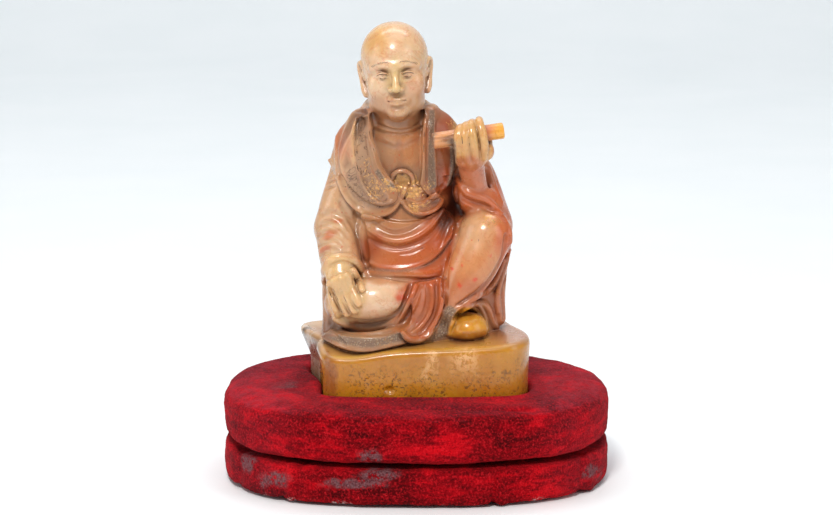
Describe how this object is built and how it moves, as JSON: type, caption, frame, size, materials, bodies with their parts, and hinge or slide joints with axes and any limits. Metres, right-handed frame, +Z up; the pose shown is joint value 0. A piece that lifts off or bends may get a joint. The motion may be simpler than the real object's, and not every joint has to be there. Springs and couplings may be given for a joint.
{
  "type": "carved soapstone figure on stand",
  "caption": "Seated robed luohan with a raised scroll, carved with its rock from one soapstone, in a fitted oval stand covered in velvet.",
  "frame": {"origin": "middle of the stand's underside", "axes": "+Z up, the figure looks along -Y, +X is to the right of someone who faces it"},
  "size_m": [0.109, 0.083, 0.1275],
  "materials": {
    "luohan_figure": "polished soapstone, cream to orange red above and speckled golden yellow on the rock",
    "velvet_ring": "worn crimson velvet pile over padding",
    "velvet_base": "worn crimson velvet pile over a board"
  },
  "bodies": {
    "root": {"luohan_figure": "luohan_figure", "velvet_ring": "velvet_ring", "velvet_base": "velvet_base"}
  },
  "joints": []
}
